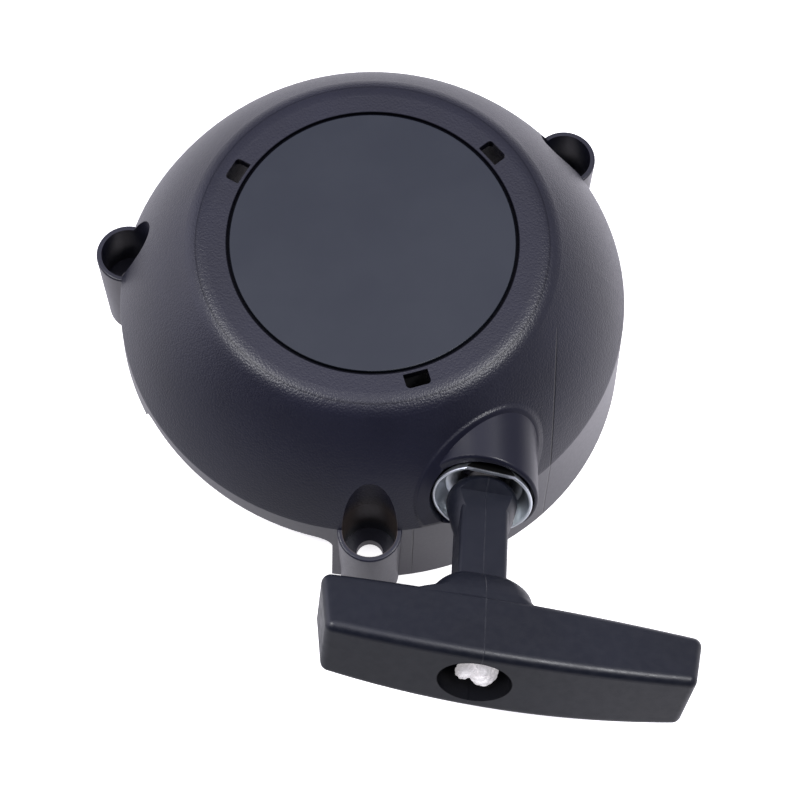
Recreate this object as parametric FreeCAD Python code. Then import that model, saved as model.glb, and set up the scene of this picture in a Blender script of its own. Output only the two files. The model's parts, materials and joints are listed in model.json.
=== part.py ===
import FreeCAD, Part
import math
import os
from FreeCAD import Matrix, Placement, Vector

# Recoil starter, millimetres. The origin is the centre of the mounting plane, on the crank axis.
# +Z points away from the engine, through the domed cover. The rope leaves towards -Y.

# Driving dimensions of the cover
TOP_Z = 72.0            # flat ring at the top of the dome
FLAT_R = 47.5           # where the flat ring ends
SHOULDER_R = 9.0        # radius of the rounded shoulder
SHOULDER_TURN = 46.0    # degrees that the shoulder turns through
CREASE_R = 75.2         # sharp edge between dome and skirt
CREASE_Z = 35.7
BASE_R = 76.3           # foot of the skirt, at z = 0
WALL = 3.0
EDGE = 0.6              # small rounding of moulded edges
BELOW = -5.0            # a height safely under the mounting plane
ABOVE = TOP_Z + 5.0     # a height safely over the dome

# Blank disc in the middle of the dome
DISC_R = 41.0
DISC_GROOVE = 0.8
DISC_THICK = 1.2

# Mounting lugs
LUG_ANGLES = (-89.0, 40.0, 171.0)
LUG_CIRCLE_R = 74.9
LUG_R_TOP = 9.4
LUG_R_BASE = 8.7
LUG_R_INSIDE = 9.9
WELL_R = 7.9
WEB_BOTTOM = 13.5
WEB_TOP = 17.0
SCREW_HOLE_R = 3.9
UNDER_WEB_R = 6.2       # the space under the web is open towards the inside of the cover

# Windows in the ring, above the snap hooks that hold the spring cassette
WINDOW_ANGLES = (-72.3, 41.0, 151.8)
WINDOW_R = (42.7, 47.2)
WINDOW_WIDTH = 7.2
WINDOW_CORNER = 1.2
HOOK_WIDTH = 20.0
HOOK_THICK = 2.6
HOOK_CLEARANCE = 0.2

# Air inlets in the skirt: middle angle, width, and the height of the opening at each end.
# The first two run into each other, with a step in height between them.
INLETS = ((-124.0, 68.0, 32.2, 27.0), (-163.6, 39.0, 27.0, 27.0), (88.0, 68.0, 29.0, 29.0))
INLET_CORNER = 5.0
INLET_DEPTH = 40.0
RIB_ANGLES = (5.0, 68.0, 110.0, 140.0, 200.0, 232.0, 335.0)
RIB_THICK = 2.0
RIB_BOTTOM = 47.0

# Rope, and where it leaves the cover
ROPE_R = 2.2
ROPE_Z = 44.0
TANGENT_X = 33.0
OUTLET = Vector(TANGENT_X, -68.5, 45.7)     # centre of the eyelet's lip
MOUTH_YAW = -7.0
PULL_YAW = -2.0
RAISED = 18.0
GRIP_ROLL = 9.0
BEND_BACK = 8.6         # the rope bends this far inside the eyelet
BOSS_ROOT = Vector(31.3, -30.0, 45.5)
BOSS_R_ROOT = 17.2
BOSS_R_MOUTH = 15.8
BOSS_WALL = 2.6
BOSS_START_Y = -44.0    # the boss begins inside the dome here, and its hollow a little further in
BOSS_HOLLOW_Y = -40.0
BOSS_LIP = 0.9          # rounding of the boss's mouth
MOUTH_SETBACK = 1.8     # the lip stands this far proud of the boss
RECESS_R = 14.9
RECESS_DEPTH = 5.0
EYELET_RIM_R = 14.3
EYELET_SEAT_R = 11.9
EYELET_THROAT_R = 7.0
EYELET_DEPTH = 12.0
EYELET_WALL = 0.9
EYELET_FLAT = 12.5      # a flat at the top of the rim, this far from the axis, stops the ferrule turning
EYELET_FLAT_TURN = 7.0  # degrees that the flat leans to the right
ROPE_WAY_R = 7.5

# Centre post, pulley and spring cassette
POST_R = 7.0
POST_END = 26.6
INSERT_R = 4.48
INSERT_TOP = 40.0
SCREW_R = 3.0
RUNNING = 0.06
PULLEY_R = 36.0
GROOVE_HALF = 2.6
FLANGE_LOWER = 3.0
FLANGE_UPPER = 2.5
CORE_R = 11.7
HUB_R_LOWER = 9.8
HUB_R_UPPER = 10.5
HUB_BOTTOM = 30.6
HUB_TOP = 65.6
CASE_R = 42.5
CASE_TOP = TOP_Z - WALL - 0.1
CASE_WALL = 2.5
CASE_LID = 2.0
COVER_R = 45.5
COVER_BOTTOM = 50.4
COVER_THICK = 2.0
STRIP = 0.8
STRIP_TURNS = 8
STRIP_R = (12.4, 38.2)
STRIP_Z = (53.2, 66.0)

# Rope on the pulley: a flat coil of this many turns
COIL_TURNS = 4
COIL_PITCH = 4.7
COIL_CUT_R = 35.4
PULLEY_KNOT_R = 3.9

# Pawls and the plate that throws them out
PAWL_PIVOT_R = 22.0
PAWL_PIN_R = 3.0
PAWL_Z = (31.4, 37.4)
PAWL_HUB_R = 6.2
PAWL_TIP = Vector(19.0, 1.0, 0.0)
PAWL_TIP_R = 2.4
PAWL_SWING = 26.0
FOLLOWER = Vector(7.0, -2.5, 0.0)           # drive pin, from the pivot
FOLLOWER_R = 1.5
PLATE_Z = (28.4, 30.4)
PLATE_LAG = 30.0
PLATE_HUB_R = 14.0
SLOT_HALF = 1.8
ARM_HALF = 5.6

# Grip, in its own frame: x along the bar, -y along the pull, z up
BAR_BACK = -44.0
BAR_BACK_LEFT = -40.5   # the back slants: nearer to the cover at the left end
BAR_BACK_RIGHT = -43.4
BAR_LEFT = -43.6
BAR_RIGHT = 61.2
BAR_END_TAPER = 2.2
LEFT_END_LEAN = 5.0     # degrees
BAR_DEPTH_END = 15.4
BAR_DEPTH_REACH = 13.4  # depth of the outline 10 mm beyond the left end, where it is cut off
BAR_DEPTH = 18.7
BAR_HALF_END = 10.0
BAR_HALF = 12.5
BAR_EDGE = 2.6
BAR_BOW_X = 4.0         # where the bar is deepest
STEM_HALF_X = 6.85
STEM_HALF_Z = 6.6
STEM_EDGE = 1.6
NOSE_IN = 7.2
NOSE_R = 10.1           # widest, just outside the eyelet's lip
NOSE_WIDEST_Y = -1.4
NOSE_BACK = -15.0
NOSE_TIP_R = 4.8
NOSE_TIP_TAPER = 1.6
NOSE_TIP_Y = 4.2
NOSE_HALF_Z = 10.0
NOSE_FLARE_Y = (-2.2, 0.2)      # where the nose grows from the stem's height to its own
# Sections of the shoulders that carry the stem into the bar: y, middle, half width, half height, corner
SHOULDERS = (
    (-47.0, -3.6, 22.0, 11.2, 5.0), (-44.0, -3.2, 20.0, 11.7, 5.0), (-42.6, -2.8, 18.4, 11.9, 5.0),
    (-41.2, -2.0, 16.4, 11.9, 5.0), (-40.0, -1.0, 14.8, 11.7, 5.0), (-38.6, -0.3, 13.9, 11.3, 5.0),
    (-36.5, 0.0, 12.7, 10.6, 4.8), (-34.3, 0.0, 11.0, 9.5, 4.4), (-32.5, 0.0, 9.0, 8.2, 3.6),
    (-31.2, 0.0, 7.0, 6.9, 2.6), (-30.4, 0.0, 5.4, 5.6, 2.0),
)
POCKET_HALF = (10.1, 8.5)
KNOT_Y = -56.4
KNOT_R = 6.2
POCKET_FLOOR = -50.1
GRIP_BORE_R = 2.5

AXIS_Z = Vector(0, 0, 1)


def polar(radius, degrees, z=0.0):
    angle = math.radians(degrees)
    return Vector(radius * math.cos(angle), radius * math.sin(angle), z)


def heading(yaw, raised):
    """Unit vector that points out of the cover towards -Y, turned by yaw and lifted by raised."""
    turn = math.radians(yaw)
    lift = math.radians(raised)
    return Vector(math.sin(turn) * math.cos(lift), -math.cos(turn) * math.cos(lift), math.sin(lift))


def cylinder(radius, z0, z1, centre=Vector(0, 0, 0)):
    return Part.makeCylinder(radius, z1 - z0, Vector(centre.x, centre.y, z0))


def tube(outer, inner, z0, z1, centre=Vector(0, 0, 0)):
    return cylinder(outer, z0, z1, centre).cut(cylinder(inner, z0 - 1, z1 + 1, centre))


def rod(start, end, radius):
    return Part.makeCylinder(radius, start.distanceToPoint(end), start, end.sub(start))


def closed_wire(points):
    return Part.makePolygon(list(points) + [points[0]])


def spin_profile(points):
    """Solid of revolution about Z from a closed outline of (radius, z) points."""
    outline = closed_wire([Vector(r, 0, z) for r, z in points])
    return Part.Face(outline).revolve(Vector(0, 0, 0), AXIS_Z, 360)


def radial_box(r0, r1, width, z0, z1, degrees):
    """Box along a radius, centred on it."""
    box = Part.makeBox(r1 - r0, width, z1 - z0, Vector(r0, -width / 2, z0))
    box.rotate(Vector(0, 0, 0), AXIS_Z, degrees)
    return box


def place(shape, origin, x_dir, y_dir, z_dir):
    """Move a shape from its own frame to the frame with these axes."""
    matrix = Matrix(x_dir.x, y_dir.x, z_dir.x, origin.x,
                    x_dir.y, y_dir.y, z_dir.y, origin.y,
                    x_dir.z, y_dir.z, z_dir.z, origin.z,
                    0, 0, 0, 1)
    moved = shape.copy()
    moved.Placement = Placement(matrix).multiply(moved.Placement)
    return moved


def along(shape, origin, direction):
    """Place a shape made around Z so that its Z follows direction."""
    x_dir = direction.cross(AXIS_Z).normalize()
    return place(shape, origin, x_dir, direction.cross(x_dir), direction)


def grip_frame(shape):
    """Place a shape made in the grip's frame on the pull axis, with the grip's roll."""
    pull = heading(PULL_YAW, RAISED)
    level = AXIS_Z.cross(pull).normalize()
    upright = pull.cross(level)
    roll = math.radians(GRIP_ROLL)
    x_dir = level * math.cos(roll) - upright * math.sin(roll)
    z_dir = level * math.sin(roll) + upright * math.cos(roll)
    return place(shape, OUTLET, x_dir, pull * -1, z_dir)


def swept_wire(points, radius):
    """Round wire along a smooth curve through the points."""
    curve = Part.BSplineCurve()
    curve.interpolate(points)
    spine = Part.Wire(curve.toShape())
    start = curve.value(curve.FirstParameter)
    tangent = curve.tangent(curve.FirstParameter)[0]
    section = Part.Wire(Part.makeCircle(radius, start, tangent))
    return spine.makePipeShell([section], True, False)


def rounded(shape, radius, keep):
    """Round the edges that keep() picks."""
    return shape.makeFillet(radius, [edge for edge in shape.Edges if keep(edge)])


def is_circle(edge, radius, z):
    """True for a whole or part circle about Z with this radius and height."""
    if edge.Curve.TypeId != "Part::GeomCircle":
        return False
    centre = edge.Curve.Center
    on_axis = math.hypot(centre.x, centre.y) < 0.01
    return on_axis and abs(edge.Curve.Radius - radius) < 0.01 and abs(centre.z - z) < 0.01


def dome_solid(inset, foot):
    """The cover's outer form, or its cavity when inset by the wall."""
    turn = math.radians(SHOULDER_TURN)
    normal = Vector(math.sin(turn), 0, math.cos(turn))
    shoulder_centre = Vector(FLAT_R, 0, TOP_Z - SHOULDER_R)
    shoulder_end = shoulder_centre + normal * SHOULDER_R
    crease = Vector(CREASE_R, 0, CREASE_Z)
    chord = crease - shoulder_end
    side_r = -chord.dot(chord) / (2 * normal.dot(chord))
    side_centre = shoulder_end - normal * side_r

    def on_arc(centre, towards, radius):
        return centre + (towards - centre).normalize() * (radius - inset)

    half_normal = Vector(math.sin(turn / 2), 0, math.cos(turn / 2))
    top = Vector(FLAT_R, 0, TOP_Z - inset)
    shoulder_mid = shoulder_centre + half_normal * (SHOULDER_R - inset)
    shoulder_low = shoulder_centre + normal * (SHOULDER_R - inset)
    side_mid = on_arc(side_centre, (shoulder_end + crease) * 0.5, side_r)
    side_low = on_arc(side_centre, crease, side_r)
    skirt_low = Vector(BASE_R - inset, 0, foot)
    edges = [
        Part.makeLine(Vector(0, 0, TOP_Z - inset), top),
        Part.Arc(top, shoulder_mid, shoulder_low).toShape(),
        Part.Arc(shoulder_low, side_mid, side_low).toShape(),
        Part.makeLine(side_low, skirt_low),
        Part.makeLine(skirt_low, Vector(0, 0, foot)),
        Part.makeLine(Vector(0, 0, foot), Vector(0, 0, TOP_Z - inset)),
    ]
    return Part.Face(Part.Wire(edges)).revolve(Vector(0, 0, 0), AXIS_Z, 360)


def inlet_tool(angle, width, top_far, top_near):
    """Prism that cuts an air inlet through the skirt, with rounded upper corners."""
    half = width / 2
    r0 = CREASE_R - INLET_DEPTH / 2
    outline = closed_wire([
        Vector(r0, -half, BELOW), Vector(r0, -half, top_far),
        Vector(r0, half, top_near), Vector(r0, half, BELOW),
    ])
    tool = Part.Face(outline).extrude(Vector(INLET_DEPTH, 0, 0))

    def upper_corner(edge):
        return abs(edge.BoundBox.XLength - INLET_DEPTH) < 0.1 and edge.BoundBox.ZMin > 0

    tool = rounded(tool, INLET_CORNER, upper_corner)
    tool.rotate(Vector(0, 0, 0), AXIS_Z, angle)
    return tool


def lug_body(angle, outer):
    """Lug outside the skirt, and the wall of its well where the well runs up into the dome."""
    centre = polar(LUG_CIRCLE_R, angle)
    body = Part.makeCone(LUG_R_BASE, LUG_R_TOP, CREASE_Z, centre)
    body = rounded(body, EDGE, lambda edge: edge.Closed and edge.BoundBox.ZMin > CREASE_Z - 0.1)
    upper = cylinder(LUG_R_INSIDE, WEB_BOTTOM, TOP_Z - 8, centre).common(outer)
    return body.fuse(upper)


def lug_cuts(angle):
    centre = polar(LUG_CIRCLE_R, angle)
    return [
        cylinder(WELL_R, WEB_TOP, ABOVE, centre),
        cylinder(SCREW_HOLE_R, WEB_BOTTOM - 1, WEB_TOP + 1, centre),
        cylinder(UNDER_WEB_R, BELOW, WEB_BOTTOM, centre),
        radial_box(CREASE_R - 2 * LUG_R_INSIDE, LUG_CIRCLE_R, 2 * UNDER_WEB_R, BELOW, WEB_BOTTOM, angle),
    ]


def window_tool(angle):
    """Prism that opens a window through the roof, with rounded outer corners."""
    tool = radial_box(WINDOW_R[0], WINDOW_R[1], WINDOW_WIDTH, TOP_Z - WALL - 1, ABOVE, 0)

    def outer_corner(edge):
        return edge.BoundBox.ZLength > WALL and edge.BoundBox.XMin > WINDOW_R[0] + 1

    tool = rounded(tool, WINDOW_CORNER, outer_corner)
    tool.rotate(Vector(0, 0, 0), AXIS_Z, angle)
    return tool


def snap_hook(angle):
    """Hook that hangs from the roof behind its window and catches the cassette cover."""
    leg_r = WINDOW_R[1] + HOOK_CLEARANCE
    ledge_top = COVER_BOTTOM - HOOK_CLEARANCE
    ledge_bottom = ledge_top - HOOK_THICK
    leg = radial_box(leg_r, leg_r + HOOK_THICK, HOOK_WIDTH, ledge_bottom, TOP_Z - 2, angle)
    ledge = radial_box(WINDOW_R[0] + 1, leg_r, WINDOW_WIDTH, ledge_bottom, ledge_top, angle)
    return leg.fuse(ledge)


def boss_shape(radius_step, start_y, stop):
    """Cone from inside the dome to the mouth, thinner by radius_step, up to stop from the mouth."""
    mouth = OUTLET - heading(MOUTH_YAW, RAISED) * MOUTH_SETBACK
    line = mouth - BOSS_ROOT
    overshoot = 8.0
    root_r = BOSS_R_ROOT - radius_step
    far_r = BOSS_R_MOUTH - radius_step - 0.2
    cone = Part.makeCone(root_r, far_r, line.Length + overshoot, BOSS_ROOT, line)
    size = 2 * BASE_R
    block = Part.makeBox(size, size, size, Vector(-size / 2, -size / 2, 0))
    beyond = along(block, mouth - heading(MOUTH_YAW, RAISED) * stop, heading(MOUTH_YAW, RAISED))
    behind = Part.makeBox(size, size, size, Vector(-size / 4, start_y, -size / 4))
    return cone.cut(beyond).cut(behind)


def starter_housing():
    outer = rounded(dome_solid(0, 0), 0.5, lambda edge: is_circle(edge, CREASE_R, CREASE_Z))
    cavity = dome_solid(WALL, BELOW)
    shell = outer.cut(cavity)
    for angle, width, top_far, top_near in INLETS:
        shell = shell.cut(inlet_tool(angle, width, top_far, top_near))

    boss_solid = boss_shape(0, BOSS_START_Y, 0)
    midway_y = (OUTLET.y + BOSS_START_Y) / 2
    boss_solid = rounded(boss_solid, BOSS_LIP, lambda edge: edge.Closed and edge.BoundBox.YMax < midway_y)
    additions = [lug_body(angle, outer) for angle in LUG_ANGLES]
    additions += [snap_hook(angle) for angle in WINDOW_ANGLES]
    for angle in RIB_ANGLES:
        rib = radial_box(FLAT_R + 0.5, CREASE_R, RIB_THICK, RIB_BOTTOM, TOP_Z - 1, angle)
        additions.append(rib.common(cavity))
    additions += [cylinder(POST_R, POST_END, TOP_Z - 1), boss_solid]
    body = shell.multiFuse(additions)

    mouth = heading(MOUTH_YAW, RAISED)
    cuts = [cut for angle in LUG_ANGLES for cut in lug_cuts(angle)]
    cuts += [window_tool(angle) for angle in WINDOW_ANGLES]
    cuts += [cylinder(DISC_R + DISC_GROOVE, TOP_Z - DISC_THICK, ABOVE)]
    cuts += [cylinder(INSERT_R + 0.02, BELOW, INSERT_TOP + 2)]
    cuts += [boss_shape(BOSS_WALL, BOSS_HOLLOW_Y, EYELET_DEPTH + 0.5)]
    cuts += [along(cylinder(RECESS_R, -RECESS_DEPTH, RECESS_R), OUTLET, mouth)]
    cuts += [along(cylinder(EYELET_SEAT_R + 0.1, -EYELET_DEPTH - 0.3, 0), OUTLET, mouth)]
    way_start = Vector(TANGENT_X, BOSS_HOLLOW_Y, ROPE_Z)
    way_end = Vector(TANGENT_X, OUTLET.y + 8, ROPE_Z)
    cuts += [rod(way_start, way_end, ROPE_WAY_R)]
    for cut in cuts:
        body = body.cut(cut)
    return body


def centre_disc():
    disc = cylinder(DISC_R, TOP_Z - DISC_THICK + 0.02, TOP_Z)
    return rounded(disc, 0.3, lambda edge: is_circle(edge, DISC_R, TOP_Z))


def eyelet_outside():
    """The ferrule's outer form around Z, filled: a beaded rim at z = 0 that narrows to the seat."""
    rim = EYELET_RIM_R
    seat = EYELET_SEAT_R
    top = Vector(0, 0, -0.4)
    bottom = Vector(0, 0, -EYELET_DEPTH)
    rim_inner = Vector(rim - EYELET_WALL, 0, -0.4)
    bead = Vector(rim - 0.4, 0, 0)
    bead_under = Vector(rim - 0.1, 0, -0.9)
    under_dish = Vector(rim - 0.9, 0, -2.9)
    seat_top = Vector(seat, 0, -4.4)
    seat_low = Vector(seat, 0, -EYELET_DEPTH + 3.0)
    end_outer = Vector(EYELET_THROAT_R + EYELET_WALL, 0, -EYELET_DEPTH)
    edges = [
        Part.makeLine(top, rim_inner),
        Part.Arc(rim_inner, bead, bead_under).toShape(),
        Part.Arc(bead_under, under_dish, seat_top).toShape(),
        Part.makeLine(seat_top, seat_low),
        Part.makeLine(seat_low, end_outer),
        Part.makeLine(end_outer, bottom),
        Part.makeLine(bottom, top),
    ]
    return Part.Face(Part.Wire(edges)).revolve(Vector(0, 0, 0), AXIS_Z, 360)


def eyelet_inside():
    """The ferrule's hollow around Z: a dished mouth that rounds into the throat."""
    rim = EYELET_RIM_R
    throat = EYELET_THROAT_R
    above = Vector(0, 0, 1.0)
    below = Vector(0, 0, -EYELET_DEPTH - 1.0)
    mouth_edge = Vector(rim - EYELET_WALL, 0, -0.4)
    mouth_above = Vector(rim - EYELET_WALL, 0, 1.0)
    dish_middle = Vector(rim - 1.9, 0, -3.0)
    dish_floor = Vector(EYELET_SEAT_R - EYELET_WALL, 0, -5.6)
    throat_bulge = Vector(throat + 1.1, 0, -6.6)
    throat_top = Vector(throat, 0, -EYELET_DEPTH + 3.2)
    throat_low = Vector(throat, 0, -EYELET_DEPTH - 1.0)
    edges = [
        Part.makeLine(above, mouth_above),
        Part.makeLine(mouth_above, mouth_edge),
        Part.Arc(mouth_edge, dish_middle, dish_floor).toShape(),
        Part.Arc(dish_floor, throat_bulge, throat_top).toShape(),
        Part.makeLine(throat_top, throat_low),
        Part.makeLine(throat_low, below),
        Part.makeLine(below, above),
    ]
    return Part.Face(Part.Wire(edges)).revolve(Vector(0, 0, 0), AXIS_Z, 360)


def rope_eyelet():
    """Spun metal ferrule in the boss's mouth, with a flat at the top of its rim."""
    def beyond_flat(distance):
        size = 4 * EYELET_RIM_R
        box = Part.makeBox(size, size, size, Vector(-size / 2, -distance - size, -size / 2))
        box.rotate(Vector(0, 0, 0), AXIS_Z, -EYELET_FLAT_TURN)
        return box

    outside = eyelet_outside().cut(beyond_flat(EYELET_FLAT))
    inside = eyelet_inside().cut(beyond_flat(EYELET_FLAT - EYELET_WALL))
    return along(outside.cut(inside), OUTLET, heading(MOUTH_YAW, RAISED))


def rope_bend():
    """Point inside the eyelet where the rope turns from the pulley's line to the pull axis."""
    return OUTLET - heading(PULL_YAW, RAISED) * BEND_BACK


def rope_run():
    """Rope between the pulley's rim and the bend in the eyelet."""
    bend = rope_bend()
    start = Vector(TANGENT_X, 0, ROPE_Z)
    run = rod(start, bend + (bend - start).normalize() * 4, ROPE_R)
    block = Part.makeBox(40, 40, 40, Vector(-20, -20, 0.02))
    run = run.cut(along(block, bend, heading(PULL_YAW, RAISED)))
    return run.cut(cylinder(COIL_CUT_R + 0.1, 0, TOP_Z))


def rope_lead():
    """Rope from the bend, through the grip's bore, to the knot."""
    bend = rope_bend()
    pull = heading(PULL_YAW, RAISED)
    return rod(bend + pull * 0.02, OUTLET + pull * (-KNOT_Y - KNOT_R + 0.4), ROPE_R)


def grip_knot():
    """Knot in the grip's pocket: a ball of rope, flattened along the pull."""
    knot = Part.makeSphere(KNOT_R)
    tail = Part.makeCylinder(ROPE_R, 0.5 + KNOT_R, Vector(0, 0, 0), Vector(0, -1, 0))
    knot = knot.fuse(tail)
    knot.translate(Vector(0, KNOT_Y, 0))
    floor = Part.makeBox(20, 20, 20, Vector(-10, POCKET_FLOOR - 0.06, -10))
    bore = Part.makeCylinder(ROPE_R + 0.01, 20, Vector(0, KNOT_Y + KNOT_R - 0.41, 0), Vector(0, 1, 0))
    return grip_frame(knot.cut(floor).cut(bore))


def bar_plan():
    """Bar seen from above: slanting back, bowed front, slightly tapered ends, the left end leaning."""
    front_y = BAR_BACK - BAR_DEPTH_END
    reach = BAR_LEFT - 10
    back_left = Vector(reach, BAR_BACK_LEFT, 0)
    back_right = Vector(BAR_RIGHT, BAR_BACK_RIGHT, 0)
    front_right = Vector(BAR_RIGHT - BAR_END_TAPER, front_y, 0)
    front_left = Vector(reach, BAR_BACK - BAR_DEPTH_REACH, 0)
    edges = [
        Part.makeLine(back_left, back_right),
        Part.makeLine(back_right, front_right),
        Part.Arc(front_right, Vector(BAR_BOW_X, BAR_BACK - BAR_DEPTH, 0), front_left).toShape(),
        Part.makeLine(front_left, back_left),
    ]
    plan = Part.Face(Part.Wire(edges)).extrude(Vector(0, 0, 4 * BAR_HALF))
    plan.translate(Vector(0, 0, -2 * BAR_HALF))
    beyond = Part.makeBox(40, 80, 80, Vector(-40, -40, -40))
    beyond.rotate(Vector(0, 0, 0), AXIS_Z, math.degrees(math.atan2(BAR_END_TAPER, BAR_DEPTH_END)))
    beyond.rotate(Vector(0, 0, 0), Vector(0, 1, 0), -LEFT_END_LEAN)
    beyond.translate(Vector(BAR_LEFT, BAR_BACK, 0))
    return plan.cut(beyond)


def bar_front():
    """Bar seen along the pull: deepest beside the stem, lower towards the ends."""
    left = BAR_LEFT - 4
    right = BAR_RIGHT + 4
    middle = (left + right) / 2
    top_left = Vector(left, 0, BAR_HALF_END)
    top_right = Vector(right, 0, BAR_HALF_END)
    low_left = Vector(left, 0, -BAR_HALF_END)
    low_right = Vector(right, 0, -BAR_HALF_END)
    edges = [
        Part.makeLine(low_left, top_left),
        Part.Arc(top_left, Vector(middle, 0, BAR_HALF), top_right).toShape(),
        Part.makeLine(top_right, low_right),
        Part.Arc(low_right, Vector(middle, 0, -BAR_HALF), low_left).toShape(),
    ]
    return Part.Face(Part.Wire(edges)).extrude(Vector(0, 2 * BAR_BACK, 0))


def rounded_section(y, middle_x, half_x, half_z, corner):
    """Rounded rectangle across the pull axis."""
    flat_x = half_x - corner
    flat_z = half_z - corner
    bulge = corner * math.sqrt(0.5)
    edges = []
    corners = ((1, 1), (-1, 1), (-1, -1), (1, -1))
    for index, (side, rise) in enumerate(corners):
        beside = Vector(middle_x + side * half_x, y, rise * flat_z)
        above = Vector(middle_x + side * flat_x, y, rise * half_z)
        middle = Vector(middle_x + side * (flat_x + bulge), y, rise * (flat_z + bulge))
        start, end = (beside, above) if side == rise else (above, beside)
        edges.append(Part.Arc(start, middle, end).toShape())
        next_side, next_rise = corners[(index + 1) % 4]
        if next_rise == rise:
            following = Vector(middle_x + next_side * flat_x, y, rise * half_z)
        else:
            following = Vector(middle_x + side * half_x, y, next_rise * flat_z)
        edges.append(Part.makeLine(end, following))
    return Part.Wire(edges)


def nose_sides():
    """Space that the nose may fill seen from the side: as high as the stem, then wider at its tip."""
    start = NOSE_BACK - 1
    end = NOSE_IN + 1
    outline = closed_wire([
        Vector(-2 * NOSE_R, start, -STEM_HALF_Z), Vector(-2 * NOSE_R, NOSE_FLARE_Y[0], -STEM_HALF_Z),
        Vector(-2 * NOSE_R, NOSE_FLARE_Y[1], -NOSE_HALF_Z), Vector(-2 * NOSE_R, end, -NOSE_HALF_Z),
        Vector(-2 * NOSE_R, end, NOSE_HALF_Z), Vector(-2 * NOSE_R, NOSE_FLARE_Y[1], NOSE_HALF_Z),
        Vector(-2 * NOSE_R, NOSE_FLARE_Y[0], STEM_HALF_Z), Vector(-2 * NOSE_R, start, STEM_HALF_Z),
    ])
    return Part.Face(outline).extrude(Vector(4 * NOSE_R, 0, 0))


def grip_stem():
    """Stem with rounded edges, its shoulders, and the round nose that seats in the eyelet."""
    length = -BAR_BACK + 2
    stem = Part.makeBox(2 * STEM_HALF_X, length, 2 * STEM_HALF_Z, Vector(-STEM_HALF_X, -length, -STEM_HALF_Z))
    stem = rounded(stem, STEM_EDGE, lambda edge: edge.BoundBox.YLength > length - 1)
    shoulders = Part.makeLoft([rounded_section(*section) for section in SHOULDERS], True, False)
    front = Vector(0, NOSE_IN, 0)
    back = Vector(0, NOSE_BACK, 0)
    tip = Vector(NOSE_TIP_R, NOSE_IN, 0)
    tip_foot = Vector(NOSE_TIP_R + NOSE_TIP_TAPER, NOSE_TIP_Y, 0)
    shoulder = Vector(NOSE_R - 1.0, NOSE_WIDEST_Y + 3.3, 0)
    widest = Vector(NOSE_R, NOSE_WIDEST_Y, 0)
    waist = Vector(NOSE_R - 0.9, NOSE_WIDEST_Y - 4.6, 0)
    neck = Vector(STEM_HALF_X - 0.4, NOSE_BACK, 0)
    edges = [
        Part.makeLine(front, tip),
        Part.makeLine(tip, tip_foot),
        Part.Arc(tip_foot, shoulder, widest).toShape(),
        Part.Arc(widest, waist, neck).toShape(),
        Part.makeLine(neck, back),
        Part.makeLine(back, front),
    ]
    nose = Part.Face(Part.Wire(edges)).revolve(Vector(0, 0, 0), Vector(0, 1, 0), 360)
    return stem.fuse([nose.common(nose_sides()), shoulders])


def pull_handle():
    bar = bar_plan().common(bar_front())
    bar = bar.makeFillet(BAR_EDGE, bar.Edges)
    grip = bar.fuse(grip_stem())
    pocket = Part.Ellipse(Vector(0, 0, 0), POCKET_HALF[0], POCKET_HALF[1]).toShape()
    pocket = Part.Face(Part.Wire(pocket)).extrude(Vector(0, 0, 30))
    pocket.rotate(Vector(0, 0, 0), Vector(1, 0, 0), 90)
    pocket.translate(Vector(0, POCKET_FLOOR, 0))
    bore = Part.makeCylinder(GRIP_BORE_R, 80, Vector(0, 10, 0), Vector(0, -1, 0))
    return grip_frame(grip.cut(pocket).cut(bore).removeSplitter())


def rope_pulley():
    """Pulley: a narrow rope groove, hubs above and below, pawl posts and a knot seat."""
    groove_low = ROPE_Z - GROOVE_HALF
    groove_high = ROPE_Z + GROOVE_HALF
    floor = groove_low - FLANGE_LOWER
    ceiling = groove_high + FLANGE_UPPER
    bore = POST_R + RUNNING
    body = spin_profile([
        (bore, HUB_BOTTOM), (HUB_R_LOWER, HUB_BOTTOM), (HUB_R_LOWER, floor), (PULLEY_R, floor),
        (PULLEY_R, groove_low), (CORE_R, groove_low), (CORE_R, groove_high), (PULLEY_R, groove_high),
        (PULLEY_R, ceiling), (HUB_R_UPPER, ceiling), (HUB_R_UPPER, HUB_TOP), (bore, HUB_TOP),
    ])
    for rim in (floor, ceiling):
        body = rounded(body, EDGE, lambda edge: is_circle(edge, PULLEY_R, rim))
    recess = tube(PULLEY_R - 3, CORE_R + 8, floor - 1, floor + 1.2)
    for step in range(6):
        recess = recess.cut(radial_box(0, PULLEY_R, 3.0, floor - 2, floor + 2, 30 + 60 * step))
    body = body.cut(recess)
    posts = []
    for side in (1, -1):
        centre = Vector(0, side * PAWL_PIVOT_R, 0)
        posts.append(cylinder(PAWL_PIN_R, PAWL_Z[0] + 0.2, floor + 2, centre))
        posts.append(cylinder(PAWL_HUB_R - 1.2, PAWL_Z[1] + 0.1, floor + 2, centre))
    body = body.multiFuse(posts)
    inner_r = TANGENT_X - COIL_PITCH * COIL_TURNS
    knot_hole = cylinder(ROPE_R + 0.2, floor - 1, ROPE_Z, Vector(inner_r, 0, 0))
    slot = radial_box(HUB_R_UPPER - 1.6, HUB_R_UPPER + 1, 1.7, STRIP_Z[0] - 0.6, HUB_TOP + 1, 0)
    return body.cut(knot_hole).cut(slot)


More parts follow.
